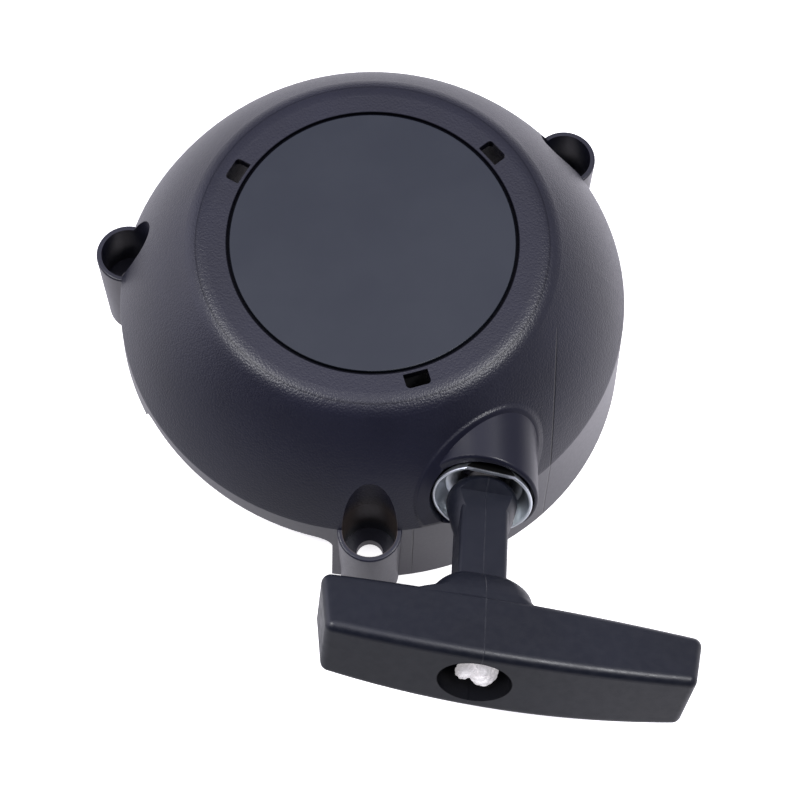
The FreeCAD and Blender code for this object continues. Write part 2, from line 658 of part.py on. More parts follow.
def rope_winding():
    """Rope on the pulley: the tangent from the rim, then a flat coil of half turns about two centres."""
    edges = [Part.makeLine(Vector(TANGENT_X, -PULLEY_R / 2, ROPE_Z), Vector(TANGENT_X, 0, ROPE_Z))]
    start_x = TANGENT_X
    for half_turn in range(2 * COIL_TURNS):
        side = 1 if half_turn % 2 == 0 else -1
        end_x = side * COIL_PITCH / 2 - start_x
        centre_x = (start_x + end_x) / 2
        crown = Vector(centre_x, side * abs(start_x - centre_x), ROPE_Z)
        edges.append(Part.Arc(Vector(start_x, 0, ROPE_Z), crown, Vector(end_x, 0, ROPE_Z)).toShape())
        start_x = end_x
    first = edges[0].Vertexes[0].Point
    section = Part.Wire(Part.makeCircle(ROPE_R, first, Vector(0, 1, 0)))
    wound = Part.Wire(edges).makePipeShell([section], True, False)
    return wound.common(cylinder(COIL_CUT_R, 0, TOP_Z))


def pulley_knot():
    """Stopper knot under the pulley's lower flange, with the rope's inner end in its hole."""
    inner_end = Vector(TANGENT_X - COIL_PITCH * COIL_TURNS, 0, 0)
    flange_bottom = ROPE_Z - GROOVE_HALF - FLANGE_LOWER
    knot_top = flange_bottom - 0.02
    knot = Part.makeSphere(PULLEY_KNOT_R, Vector(inner_end.x, 0, knot_top - 2.6))
    knot = knot.cut(cylinder(20, knot_top, knot_top + 10))
    return knot.fuse(cylinder(ROPE_R, knot_top - 1, ROPE_Z - ROPE_R - 0.02, inner_end))


def spiral_strip():
    """Flat spiral spring strip with a hook at each end."""
    steps = 30
    grow = (STRIP_R[1] - STRIP_R[0]) / STRIP_TURNS
    sides = []
    for shift in (-STRIP / 2, STRIP / 2):
        points = []
        for index in range(STRIP_TURNS * steps + 1):
            turn = index / steps
            points.append(polar(STRIP_R[0] + grow * turn + shift, -360 * turn, STRIP_Z[0]))
        curve = Part.BSplineCurve()
        curve.interpolate(points)
        sides.append(curve.toShape())
    start_cap = Part.makeLine(sides[0].Vertexes[0].Point, sides[1].Vertexes[0].Point)
    end_cap = Part.makeLine(sides[0].Vertexes[-1].Point, sides[1].Vertexes[-1].Point)
    outline = Part.Wire(Part.__sortEdges__([sides[0], end_cap, sides[1], start_cap]))
    strip = Part.Face(outline).extrude(Vector(0, 0, STRIP_Z[1] - STRIP_Z[0]))
    inner_hook = radial_box(HUB_R_UPPER - 1.3, STRIP_R[0] + 0.3, STRIP, STRIP_Z[0], STRIP_Z[1] - 0.6, 0)
    outer_hook = radial_box(STRIP_R[1] - 0.3, CASE_R - 0.7, STRIP, STRIP_Z[0], STRIP_Z[1], 0)
    return strip.multiFuse([inner_hook, outer_hook])


def spring_case():
    """Cup under the roof that holds the spring, with a slot for its outer hook."""
    wall = tube(CASE_R, CASE_R - CASE_WALL, COVER_BOTTOM + COVER_THICK + 0.1, CASE_TOP)
    lid = tube(CASE_R, POST_R + 0.4, CASE_TOP - CASE_LID, CASE_TOP)
    slot = radial_box(CASE_R - CASE_WALL - 1, CASE_R + 1, 1.8, 0, STRIP_Z[1] + 0.4, 0)
    return wall.fuse(lid).cut(slot)


def spring_cover():
    """Plate that closes the case and is caught by the snap hooks."""
    top = COVER_BOTTOM + COVER_THICK
    plate = tube(COVER_R, HUB_R_UPPER + 1.5, COVER_BOTTOM, top)
    return rounded(plate, EDGE, lambda edge: is_circle(edge, COVER_R, COVER_BOTTOM))


def hub_insert():
    """Threaded sleeve in the post, drawn plain at the thread's crest."""
    return tube(INSERT_R, SCREW_R + 0.08, POST_END, INSERT_TOP)


def centre_screw():
    """Hexagon-head screw that holds the plate and the pulley on the post."""
    head_top = POST_END - 1.9
    head_height = 4.5
    corner_r = 10.0 / math.sqrt(3)
    face_z = head_top - head_height
    corners = [polar(corner_r, 60 * step, face_z) for step in range(6)]
    head = Part.Face(closed_wire(corners)).extrude(Vector(0, 0, head_height))
    outside = corner_r + 0.2
    crown = spin_profile([
        (0, face_z), (4.6, face_z), (outside, face_z + 0.9), (outside, head_top), (0, head_top),
    ])
    shank = cylinder(SCREW_R, head_top - 1, INSERT_TOP - 1)
    return head.common(crown).fuse(shank)


def thrust_washer():
    ring = tube(11.0, SCREW_R + 0.25, POST_END - 1.88, POST_END - 0.02)
    return rounded(ring, 0.4, lambda edge: is_circle(edge, 11.0, POST_END - 1.88))


def coil_wire(mean_r, wire_r, z0, z1, turns, start_deg):
    steps = 24
    points = []
    for index in range(int(turns * steps) + 1):
        share = index / (turns * steps)
        points.append(polar(mean_r, start_deg + 360 * turns * share, z0 + (z1 - z0) * share))
    return swept_wire(points, wire_r)


def brake_spring():
    """Open ring of spring wire between washer and plate; its drag holds the plate back."""
    return coil_wire(9.0, 0.45, POST_END + 0.48, PLATE_Z[0] - 0.5, 0.9, 0)


def pawl_springs():
    """Two small coils, one in the counterbore of each pawl."""
    springs = []
    for side in (1, -1):
        coil = coil_wire(4.1, 0.35, PAWL_Z[1] - 2.4, PAWL_Z[1] - 0.5, 2.2, 90)
        coil.translate(Vector(0, side * PAWL_PIVOT_R, 0))
        springs.append(coil)
    return Part.makeCompound(springs)


def lever_face(r0, tip, r1):
    """Outline of two circles joined by their outer tangents, in the pivot's frame."""
    gap = tip.Length
    lean = math.degrees(math.atan2(tip.y, tip.x))
    open_deg = math.degrees(math.acos((r0 - r1) / gap))
    upper = lean + open_deg
    lower = lean - open_deg
    hub_up = polar(r0, upper)
    hub_low = polar(r0, lower)
    tip_up = tip + polar(r1, upper)
    tip_low = tip + polar(r1, lower)
    edges = [
        Part.Arc(hub_up, polar(r0, lean + 180), hub_low).toShape(),
        Part.makeLine(hub_low, tip_low),
        Part.Arc(tip_low, tip + polar(r1, lean), tip_up).toShape(),
        Part.makeLine(tip_up, hub_up),
    ]
    return Part.Face(Part.Wire(edges))


def pawl(half_turns):
    """Pawl with its pivot hole, spring seat and drive pin; half_turns picks which of the two."""
    z0, z1 = PAWL_Z
    body = lever_face(PAWL_HUB_R, PAWL_TIP, PAWL_TIP_R).extrude(Vector(0, 0, z1 - z0))
    body = rounded(body, 0.4, lambda edge: edge.BoundBox.ZLength < 0.01)
    body.translate(Vector(0, 0, z0))
    body = body.fuse(cylinder(FOLLOWER_R, PLATE_Z[0] - 0.2, z0 + 1, FOLLOWER))
    body = body.cut(cylinder(PAWL_PIN_R + RUNNING, 0, TOP_Z))
    body = body.cut(cylinder(PAWL_HUB_R - 1.1, z1 - 2.9, z1 + 1))
    body.translate(Vector(0, PAWL_PIVOT_R, 0))
    body.rotate(Vector(0, 0, 0), AXIS_Z, 180 * half_turns)
    return body


def follower_path():
    """Where the drive pin runs on the plate: its middle and both ends, in the plate's frame."""
    places = []
    for share in (0.0, 0.5, 1.0):
        swing = math.radians(PAWL_SWING * share)
        lag = math.radians(-PLATE_LAG * share)
        x = FOLLOWER.x * math.cos(swing) - FOLLOWER.y * math.sin(swing)
        y = FOLLOWER.x * math.sin(swing) + FOLLOWER.y * math.cos(swing) + PAWL_PIVOT_R
        places.append(Vector(x * math.cos(lag) - y * math.sin(lag), x * math.sin(lag) + y * math.cos(lag), 0))
    return places


def slot_face(path, half_width):
    """Slot of this half width along the arc through three places, with round ends."""
    circle = Part.Arc(path[0], path[1], path[2]).toShape().Curve
    centre = circle.Center
    radius = circle.Radius

    def offset(point, amount):
        return centre + (point - centre) * ((radius + amount) / radius)

    def cap(end, other):
        side = (end - centre).cross(AXIS_Z).normalize()
        if side.dot(other - end) > 0:
            side = side * -1
        return end + side * half_width

    start, middle, end = path
    edges = [
        Part.Arc(offset(start, half_width), offset(middle, half_width), offset(end, half_width)).toShape(),
        Part.Arc(offset(end, half_width), cap(end, middle), offset(end, -half_width)).toShape(),
        Part.Arc(offset(end, -half_width), offset(middle, -half_width), offset(start, -half_width)).toShape(),
        Part.Arc(offset(start, -half_width), cap(start, middle), offset(start, half_width)).toShape(),
    ]
    return Part.Face(Part.Wire(edges))


def guide_plate():
    """Plate around the post: as it lags, its two curved slots push the pawls out."""
    z0, z1 = PLATE_Z
    lift = Vector(0, 0, z1 - z0)
    path = follower_path()
    plate = cylinder(PLATE_HUB_R, z0, z1)
    bearing = math.degrees(math.atan2(path[1].y, path[1].x))
    for half_turns in (0, 1):
        arm = slot_face(path, ARM_HALF).extrude(lift)
        slot = slot_face(path, SLOT_HALF).extrude(lift)
        for shape in (arm, slot):
            shape.translate(Vector(0, 0, z0))
            shape.rotate(Vector(0, 0, 0), AXIS_Z, 180 * half_turns)
        neck = radial_box(0, path[1].Length, 11.0, z0, z1, bearing + 180 * half_turns)
        plate = plate.fuse(arm).fuse(neck).cut(slot)
    return plate.cut(cylinder(POST_R + RUNNING, 0, TOP_Z)).removeSplitter()


NODES = {
    "starter_housing": starter_housing,
    "centre_disc": centre_disc,
    "rope_eyelet": rope_eyelet,
    "rope_run": rope_run,
    "rope_lead": rope_lead,
    "grip_knot": grip_knot,
    "pull_handle": pull_handle,
    "rope_pulley": rope_pulley,
    "rope_winding": rope_winding,
    "pulley_knot": pulley_knot,
    "recoil_spring": spiral_strip,
    "spring_case": spring_case,
    "spring_cover": spring_cover,
    "hub_insert": hub_insert,
    "centre_screw": centre_screw,
    "thrust_washer": thrust_washer,
    "brake_spring": brake_spring,
    "pawl_springs": pawl_springs,
    "leading_pawl": lambda: pawl(0),
    "trailing_pawl": lambda: pawl(1),
    "guide_plate": guide_plate,
}

os.makedirs("parts", exist_ok=True)
for name, make in NODES.items():
    shape = make()
    shape.exportStep("parts/" + name + ".step")
    print(name, shape.isValid(), len(shape.Solids), round(shape.Volume, 1))
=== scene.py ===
"""Recoil starter: its looks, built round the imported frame, in metres.

+Z leaves the top of the dome, and the rope leaves towards -Y.
"""

import json
import math

import bpy
import numpy as np
from mathutils import Matrix, Vector


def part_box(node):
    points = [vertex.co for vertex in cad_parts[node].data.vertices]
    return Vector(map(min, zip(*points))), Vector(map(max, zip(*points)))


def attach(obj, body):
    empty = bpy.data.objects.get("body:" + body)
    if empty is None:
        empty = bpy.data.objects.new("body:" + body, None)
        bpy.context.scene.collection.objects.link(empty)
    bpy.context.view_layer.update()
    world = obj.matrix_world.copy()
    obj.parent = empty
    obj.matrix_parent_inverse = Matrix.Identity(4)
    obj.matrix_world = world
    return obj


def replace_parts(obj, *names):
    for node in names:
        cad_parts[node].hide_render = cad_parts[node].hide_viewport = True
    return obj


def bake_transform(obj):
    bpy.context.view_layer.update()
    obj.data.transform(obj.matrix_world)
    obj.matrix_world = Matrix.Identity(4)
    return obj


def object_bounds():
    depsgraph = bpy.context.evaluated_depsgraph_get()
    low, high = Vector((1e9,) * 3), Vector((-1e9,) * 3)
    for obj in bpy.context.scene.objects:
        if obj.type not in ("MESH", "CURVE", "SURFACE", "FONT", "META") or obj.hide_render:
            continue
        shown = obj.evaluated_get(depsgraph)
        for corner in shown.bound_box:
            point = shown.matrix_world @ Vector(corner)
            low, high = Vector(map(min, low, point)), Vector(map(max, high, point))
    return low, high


MM = 0.001

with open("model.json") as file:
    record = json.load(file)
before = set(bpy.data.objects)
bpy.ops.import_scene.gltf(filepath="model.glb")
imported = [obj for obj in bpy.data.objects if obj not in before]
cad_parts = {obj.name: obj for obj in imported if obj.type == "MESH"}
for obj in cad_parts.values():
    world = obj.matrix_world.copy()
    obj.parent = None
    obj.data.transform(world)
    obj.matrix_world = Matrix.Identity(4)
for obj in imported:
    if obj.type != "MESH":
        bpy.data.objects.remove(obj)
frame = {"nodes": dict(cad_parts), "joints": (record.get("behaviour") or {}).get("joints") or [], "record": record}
cad_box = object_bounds()
joints = {joint["name"]: joint for joint in frame["joints"]}
mounts = {mount["name"]: Vector(mount["pos_m"]) for mount in frame["record"]["mounts"]}
PULL = Vector(joints["handle_pull"]["axis"]).normalized()
OUTLET = Vector(joints["handle_twist"]["pos_m"])
UP = Vector((0, 0, 1))

# Sizes that the looks share with the design
ROPE_R = 2.2 * MM
ROPE_Z = 44.0 * MM
TANGENT_X = 33.0 * MM
BEND_BACK = 8.6 * MM
COIL_TURNS = 4
COIL_PITCH = 4.7 * MM
COIL_CUT_R = 35.4 * MM
GRIP_ROLL = math.radians(9.0)
KNOT_DEPTH = 56.4 * MM              # of the knot's middle, from the eyelet along the pull
KNOT_TURN = math.radians(68.0)
KNOT_SHIFT = (0.9 * MM, -1.2 * MM)
GRIP_KNOT = (1.42 * MM, 1.8 * MM)   # reach and depth of the knot's path
PULLEY_KNOT = (0.78 * MM, 1.0 * MM)
PULLEY_KNOT_ROPE_R = 1.5 * MM
PULLEY_KNOT_RISE = 2.6 * MM
CREASE_Z = 35.7 * MM
BOSS_AXIS = (31.9 * MM, 45.4 * MM)  # x and z
BOSS_GRAIN_R = 17.3 * MM            # the dome's grain stops this far from the boss's axis
BOSS_BACK_Y = (-30 * MM, -28 * MM)  # the boss has sunk into the dome here
SEAM_DOME_X = 53.1 * MM
SEAM_DOME_END_Y = (-30 * MM, -20 * MM)
SEAM_SKIRT_X = 13.8 * MM
SEAM_SKIRT_END_Y = (-60 * MM, -50 * MM)
SEAM_SKIRT_TOP_Z = (34 * MM, 36 * MM)
SEAM_HALF = {"dome": 0.28 * MM, "skirt": 0.22 * MM, "grip": 0.24 * MM}
RING_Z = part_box("starter_housing")[1].z
DISC_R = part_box("centre_disc")[1].x
GROOVE_R = DISC_R + 0.85 * MM
WINDOW_R = (50.6 * MM, 51.0 * MM)   # the ring's windows end inside this
WELL_R = (7.95 * MM, 8.1 * MM)      # the wall of a lug's well lies inside this
# Heights of the band of painted light on a lug's well
WELL_LIGHT_Z = (19 * MM, 25 * MM, 34 * MM, 44 * MM)
POCKET_HALF = (10.1 * MM, 8.5 * MM)
POCKET_FROM = (46 * MM, 48 * MM)    # the bar begins here, from the eyelet along the pull
EYELET_FLAT = 12.5 * MM
EYELET_FLAT_TURN = math.radians(7.0)
EYELET_YAW = math.radians(-7.0)
BRAID_STRANDS = 8
BRAID_LEAD = 2.1 * MM
FLOOR_GAP = 0.3 * MM

BEND = OUTLET - PULL * BEND_BACK
LEVEL = UP.cross(PULL).normalized()
UPRIGHT = PULL.cross(LEVEL)
GRIP_X = LEVEL * math.cos(GRIP_ROLL) - UPRIGHT * math.sin(GRIP_ROLL)
GRIP_Z = LEVEL * math.sin(GRIP_ROLL) + UPRIGHT * math.cos(GRIP_ROLL)


# ---------------------------------------------------------------- shader tools

class Shader:
    """A material under construction: short calls that add and join nodes."""

    def __init__(self, name):
        self.material = bpy.data.materials.new(name)
        self.material.use_nodes = True
        self.tree = self.material.node_tree
        self.surface = self.tree.nodes["Principled BSDF"]
        place = self.tree.nodes.new("ShaderNodeTexCoord").outputs["Object"]
        self.place = place
        split = self.node("SeparateXYZ", {"Vector": place})
        self.x, self.y, self.z = split.outputs

    def give(self, socket, value):
        if isinstance(value, bpy.types.NodeSocket):
            self.tree.links.new(value, socket)
        else:
            socket.default_value = value

    def node(self, kind, inputs, **settings):
        made = self.tree.nodes.new("ShaderNode" + kind)
        for key, value in settings.items():
            setattr(made, key, value)
        for key, value in inputs.items():
            self.give(made.inputs[key], value)
        return made

    def math(self, operation, *values):
        inputs = dict(enumerate(values))
        return self.node("Math", inputs, operation=operation).outputs[0]

    def noise(self, scale, detail=3.0, rough=0.55, place=None, distortion=0.0):
        inputs = {"Vector": place or self.place, "Scale": scale, "Detail": detail, "Roughness": rough}
        inputs["Distortion"] = distortion
        return self.node("TexNoise", inputs).outputs["Fac"]

    def cells(self, scale):
        return self.node("TexVoronoi", {"Vector": self.place, "Scale": scale}).outputs["Distance"]

    def length(self, first, second):
        squares = [self.math("MULTIPLY", value, value) for value in (first, second)]
        return self.math("SQRT", self.math("ADD", *squares))

    def ramp(self, value, low, high, start=0.0, end=1.0):
        inputs = {"Value": value, "From Min": low, "From Max": high, "To Min": start, "To Max": end}
        return self.node("MapRange", inputs, interpolation_type="SMOOTHSTEP").outputs["Result"]

    def tint(self, share, first, second):
        mixer = self.node("Mix", {0: share}, data_type="RGBA")
        self.give(mixer.inputs[6], first)
        self.give(mixer.inputs[7], second)
        return mixer.outputs[2]

    def bump(self, height, distance, strength=1.0, normal=None):
        inputs = {"Height": height, "Distance": distance, "Strength": strength}
        if normal is not None:
            inputs["Normal"] = normal
        return self.node("Bump", inputs).outputs["Normal"]

    def along(self, direction, origin):
        """Distance of the shaded point from origin, measured along direction."""
        shift = self.node("VectorMath", {0: self.place, 1: tuple(origin)}, operation="SUBTRACT").outputs[0]
        measured = self.node("VectorMath", {0: shift, 1: tuple(direction)}, operation="DOT_PRODUCT")
        return measured.outputs["Value"]

    def seam(self, distance, half_width):
        """1 on a hairline where distance is zero, 0 beside it."""
        return self.ramp(self.math("ABSOLUTE", distance), half_width * 0.3, half_width, 1.0, 0.0)

    def done(self, colour, roughness, normal=None, metallic=0.0, **extra):
        self.give(self.surface.inputs["Base Color"], colour)
        self.give(self.surface.inputs["Roughness"], roughness)
        self.give(self.surface.inputs["Metallic"], metallic)
        if normal is not None:
            self.give(self.surface.inputs["Normal"], normal)
        for key, value in extra.items():
            self.give(self.surface.inputs[key.replace("_", " ")], value)
        return self.material


def grey(level, warmth=0.0):
    return (level * (1 + warmth), level, level * (1 - warmth), 1.0)


def scaled(colour, factor):
    return tuple(channel * factor for channel in colour[:3]) + (1.0,)


# ------------------------------------------------------------------- materials

# Colours are linear
COVER_BLACK = (0.0110, 0.0114, 0.0220, 1.0)
GRIP_BLACK = (0.0068, 0.0082, 0.0145, 1.0)
DISC_DARK = (0.0122, 0.0160, 0.0262, 1.0)
DISC_LIGHT = (0.0158, 0.0200, 0.0310, 1.0)
# Painted warm light for the wall of the front lug's well
WELL_PAINTED_LIGHT = (0.062, 0.047, 0.041, 1.0)
FLOOR_GLOW = {"table": 0.55, "back": 0.42, "right": 0.85, "seen": 0.7, "seen near": 0.95}
FLOOR_BOUNCE = 0.48
FLOOR_TINT = (1.02, 0.975, 1.08, 1.0)
FLOOR_SEEN_TINT = (1.0, 0.985, 1.0, 1.0)


def cover_plastic():
    """Black moulded plastic: grained dome and ring, smooth skirt, boss and lugs, hairline mould seams."""
    s = Shader("cover_plastic")
    from_crank = s.length(s.x, s.y)
    from_boss = s.length(s.math("SUBTRACT", s.x, BOSS_AXIS[0]), s.math("SUBTRACT", s.z, BOSS_AXIS[1]))
    behind_boss = s.ramp(s.y, *BOSS_BACK_Y)
    off_boss = s.math("MAXIMUM", s.ramp(from_boss, BOSS_GRAIN_R, BOSS_GRAIN_R + 0.4 * MM), behind_boss)
    on_dome = s.ramp(s.z, CREASE_Z - 0.1 * MM, CREASE_Z + 0.8 * MM)
    grained = s.math("MULTIPLY", off_boss, on_dome)

    pits = s.ramp(s.cells(1500.0), 0.15, 0.75)
    fine = s.noise(3200.0, 2.0)
    grain = s.math("ADD", s.math("MULTIPLY", pits, 0.65), s.math("MULTIPLY", fine, 0.6))
    grain = s.math("MULTIPLY", grain, grained)
    satin = s.noise(900.0, 4.0, 0.6)
    drift = s.noise(28.0, 3.0)

    dome_front = s.ramp(s.y, *SEAM_DOME_END_Y, 1.0, 0.0)
    seam_dome = s.seam(s.math("SUBTRACT", s.x, SEAM_DOME_X), SEAM_HALF["dome"])
    skirt_front = s.ramp(s.y, *SEAM_SKIRT_END_Y, 1.0, 0.0)
    skirt_front = s.math("MULTIPLY", skirt_front, s.ramp(s.z, *SEAM_SKIRT_TOP_Z, 1.0, 0.0))
    seam_skirt = s.seam(s.math("SUBTRACT", s.x, SEAM_SKIRT_X), SEAM_HALF["skirt"])
    seams = [s.math("MULTIPLY", seam_dome, dome_front), s.math("MULTIPLY", seam_skirt, skirt_front)]
    seam = s.math("MAXIMUM", *seams)

    # Light hardly reaches the groove round the disc and the window openings
    low = s.ramp(s.z, RING_Z - 0.9 * MM, RING_Z - 0.3 * MM, 1.0, 0.0)
    groove = s.ramp(from_crank, GROOVE_R, GROOVE_R + 0.3 * MM, 1.0, 0.0)
    shade = s.math("MAXIMUM", groove, s.math("MULTIPLY", low, s.ramp(from_crank, *WINDOW_R, 1.0, 0.0)))

    colour = s.tint(s.ramp(drift, 0.3, 0.7), scaled(COVER_BLACK, 0.86), scaled(COVER_BLACK, 1.16))
    # Painted speckle highlights: lighter specks on the grain
    speckle_highlight = s.math("MULTIPLY", s.ramp(fine, 0.62, 0.8), s.math("MULTIPLY", grained, 0.35))
    colour = s.tint(speckle_highlight, colour, scaled(COVER_BLACK, 2.4))
    colour = s.tint(s.math("MAXIMUM", seam, shade), colour, scaled(COVER_BLACK, 0.3))
    # Painted warm light on the wall of the front lug's well
    lug = mounts["lug_front"]
    from_lug = s.length(s.math("SUBTRACT", s.x, lug.x), s.math("SUBTRACT", s.y, lug.y))
    low_edge, low_full, high_full, high_edge = WELL_LIGHT_Z
    well_light = s.math("MULTIPLY", s.ramp(s.z, low_edge, low_full), s.ramp(s.z, high_full, high_edge, 1.0, 0.0))
    well_light = s.math("MULTIPLY", well_light, s.ramp(from_lug, *WELL_R, 1.0, 0.0))
    colour = s.tint(well_light, colour, WELL_PAINTED_LIGHT)
    roughness = s.math("ADD", s.ramp(grained, 0.0, 1.0, 0.27, 0.31), s.math("MULTIPLY", satin, 0.12))
    fillet = s.ramp(from_boss, BOSS_GRAIN_R - 0.2 * MM, BOSS_GRAIN_R + 1.3 * MM, 1.0, 0.0)
    fillet = s.math("MULTIPLY", fillet, s.math("MULTIPLY", on_dome, s.math("SUBTRACT", 1.0, behind_boss)))
    normal = s.bump(satin, 0.012 * MM, 0.6)
    normal = s.bump(grain, 0.07 * MM, 0.8, normal)
    normal = s.bump(fillet, 0.7 * MM, 1.0, normal)
    normal = s.bump(s.math("SUBTRACT", 1.0, seam), 0.15 * MM, 1.0, normal)
    on_boss = s.math("MULTIPLY", on_dome, s.math("SUBTRACT", 1.0, off_boss))
    gloss = s.math("MULTIPLY", s.ramp(shade, 0.0, 1.0, 0.5, 0.06), s.ramp(on_boss, 0.0, 1.0, 1.0, 0.70))
    return s.done(colour, roughness, normal, Specular_IOR_Level=gloss)


def disc_plastic():
    """Smoother blank disc with faint mottling and a few rubbed spots."""
    s = Shader("disc_plastic")
    cloud = s.noise(36.0, 5.0, 0.6)
    fine = s.noise(2600.0, 2.0)
    rub = s.math("MULTIPLY", s.ramp(s.noise(75.0, 4.0, 0.7), 0.62, 0.78), 0.5)
    shade = s.ramp(s.length(s.x, s.y), DISC_R - 0.35 * MM, DISC_R - 0.15 * MM)
    colour = s.tint(s.ramp(cloud, 0.3, 0.7), DISC_DARK, DISC_LIGHT)
    colour = s.tint(shade, colour, scaled(DISC_DARK, 0.3))
    roughness = s.math("SUBTRACT", s.ramp(cloud, 0.25, 0.75, 0.40, 0.50), s.math("MULTIPLY", rub, 0.12))
    normal = s.bump(fine, 0.012 * MM, 0.5)
    normal = s.bump(cloud, 0.05 * MM, 0.35, normal)
    return s.done(colour, roughness, normal, Specular_IOR_Level=s.ramp(shade, 0.0, 1.0, 0.5, 0.06))


def grip_plastic():
    """Satin black grip with very fine texture, the parting line down its middle and a shaded pocket."""
    s = Shader("grip_plastic")
    across = s.along(GRIP_X, OUTLET)
    rise = s.along(GRIP_Z, OUTLET)
    seam = s.seam(across, SEAM_HALF["grip"])
    broken = s.math("MULTIPLY", seam, s.ramp(s.noise(260.0, 3.0), 0.42, 0.6, 0.25, 1.0))
    cloud = s.noise(30.0, 4.0)
    fine = s.noise(2800.0, 2.5)
    in_pocket = s.length(s.math("DIVIDE", across, POCKET_HALF[0]), s.math("DIVIDE", rise, POCKET_HALF[1]))
    in_bar = s.ramp(s.along(PULL, OUTLET), *POCKET_FROM)
    shade = s.math("MULTIPLY", s.ramp(in_pocket, 1.0, 1.03, 1.0, 0.0), in_bar)
    colour = s.tint(s.ramp(cloud, 0.3, 0.7), scaled(GRIP_BLACK, 0.88), scaled(GRIP_BLACK, 1.16))
    colour = s.tint(s.math("MULTIPLY", broken, 0.22), colour, (0.07, 0.072, 0.08, 1.0))
    colour = s.tint(shade, colour, scaled(GRIP_BLACK, 0.3))
    roughness = s.ramp(s.noise(420.0, 4.0), 0.3, 0.7, 0.34, 0.44)
    normal = s.bump(fine, 0.014 * MM, 0.6)
    normal = s.bump(seam, 0.08 * MM, 0.8, normal)
    return s.done(colour, roughness, normal, Specular_IOR_Level=s.ramp(shade, 0.0, 1.0, 0.5, 0.12))


def zinc():
    """Bright zinc plate on the spun eyelet, with turning marks round the mouth."""
    s = Shader("zinc")
    mouth = eyelet_axis()
    depth = s.along(mouth, OUTLET)
    down = mouth.cross(mouth.cross(UP).normalized())
    flat_way = Matrix.Rotation(-EYELET_FLAT_TURN, 3, mouth) @ -down
    # Painted shade on the eyelet's outside, in the gap beside its flat
    gap_shade = s.ramp(s.along(flat_way, OUTLET), EYELET_FLAT - 0.2 * MM, EYELET_FLAT - 0.05 * MM)
    gap_shade = s.math("MULTIPLY", gap_shade, s.ramp(depth, -1.0 * MM, -0.6 * MM, 1.0, 0.0))
    rings = s.noise(5200.0, 2.0, place=s.node("CombineXYZ", {"X": depth}).outputs[0])
    cloud = s.noise(180.0, 4.0)
    colour = s.tint(s.ramp(cloud, 0.3, 0.7), (0.70, 0.75, 0.80, 1.0), (0.84, 0.87, 0.90, 1.0))
    # Painted shade: the throat darkens with depth, and sooner on the right
    shade_depth = s.math("ADD", depth, s.ramp(s.along(LEVEL, OUTLET), -4.0 * MM, 4.0 * MM, 3.5 * MM, 0.0))
    colour = s.tint(s.ramp(shade_depth, -5.5 * MM, -1.8 * MM, 0.85, 0.0), colour, grey(0.05, -0.1))
    colour = s.tint(gap_shade, colour, grey(0.03))
    roughness = s.ramp(cloud, 0.2, 0.8, 0.33, 0.46)
    normal = s.bump(rings, 0.008 * MM, 0.4)
    normal = s.bump(cloud, 0.02 * MM, 0.4, normal)
    return s.done(colour, roughness, normal, 1.0)


def steel(name, level, rough, fleck=240.0):
    """Plated or blued steel with cloudy oil marks and fine scratches."""
    s = Shader(name)
    cloud = s.noise(fleck, 4.0, 0.6)
    scratch = s.noise(900.0, 2.0, distortion=2.5)
    colour = s.tint(s.ramp(cloud, 0.3, 0.7), grey(level * 0.8, -0.04), grey(level * 1.12, -0.01))
    roughness = s.math("ADD", s.ramp(cloud, 0.2, 0.8, rough, rough + 0.14), s.math("MULTIPLY", scratch, 0.08))
    return s.done(colour, roughness, s.bump(scratch, 0.015 * MM, 0.5), 1.0)


def brass():
    """Turned brass, with rings round the post."""
    s = Shader("brass")
    rings = s.noise(3000.0, 2.0, place=s.node("CombineXYZ", {"Z": s.z}).outputs[0])
    cloud = s.noise(300.0, 3.0)
    colour = s.tint(s.ramp(cloud, 0.3, 0.7), (0.46, 0.29, 0.09, 1.0), (0.70, 0.49, 0.19, 1.0))
    return s.done(colour, s.ramp(cloud, 0.2, 0.8, 0.24, 0.4), s.bump(rings, 0.03 * MM, 0.6), 1.0)


def nylon(name, colour, rough):
    """Moulded inner plastic with flow marks and a fine bloom."""
    s = Shader(name)
    flow = s.noise(60.0, 4.0, distortion=1.4)
    fine = s.noise(1800.0, 3.0)
    shade = s.tint(s.ramp(flow, 0.3, 0.7), scaled(colour, 0.84), scaled(colour, 1.14))
    roughness = s.ramp(flow, 0.2, 0.8, rough, rough + 0.12)
    normal = s.bump(fine, 0.02 * MM, 0.6)
    return s.done(shade, roughness, s.bump(flow, 0.1 * MM, 0.3, normal))


def rope_fibre():
    """White braided nylon: fine fibres over the modelled strands."""
    s = Shader("rope_fibre")
    fibre = s.noise(2600.0, 4.0, distortion=0.8)
    soil = s.noise(220.0, 3.0)
    colour = s.tint(s.ramp(soil, 0.35, 0.75), (0.92, 0.90, 0.91, 1.0), (0.78, 0.76, 0.76, 1.0))
    # Painted shade between the fibres
    fibre_shade = s.ramp(fibre, 0.3, 0.5, 0.5, 0.0)
    colour = s.tint(fibre_shade, colour, (0.62, 0.60, 0.60, 1.0))
    roughness = s.ramp(fibre, 0.2, 0.8, 0.55, 0.8)
    normal = s.bump(fibre, 0.12 * MM, 0.9)
    # Painted light: a faint glow makes the white rope brighter than its lighting
    s.give(s.surface.inputs["Emission Color"], (1.0, 0.96, 0.99, 1.0))
    return s.done(colour, roughness, normal, Sheen_Weight=0.3, Sheen_Roughness=0.5, Emission_Strength=0.38)


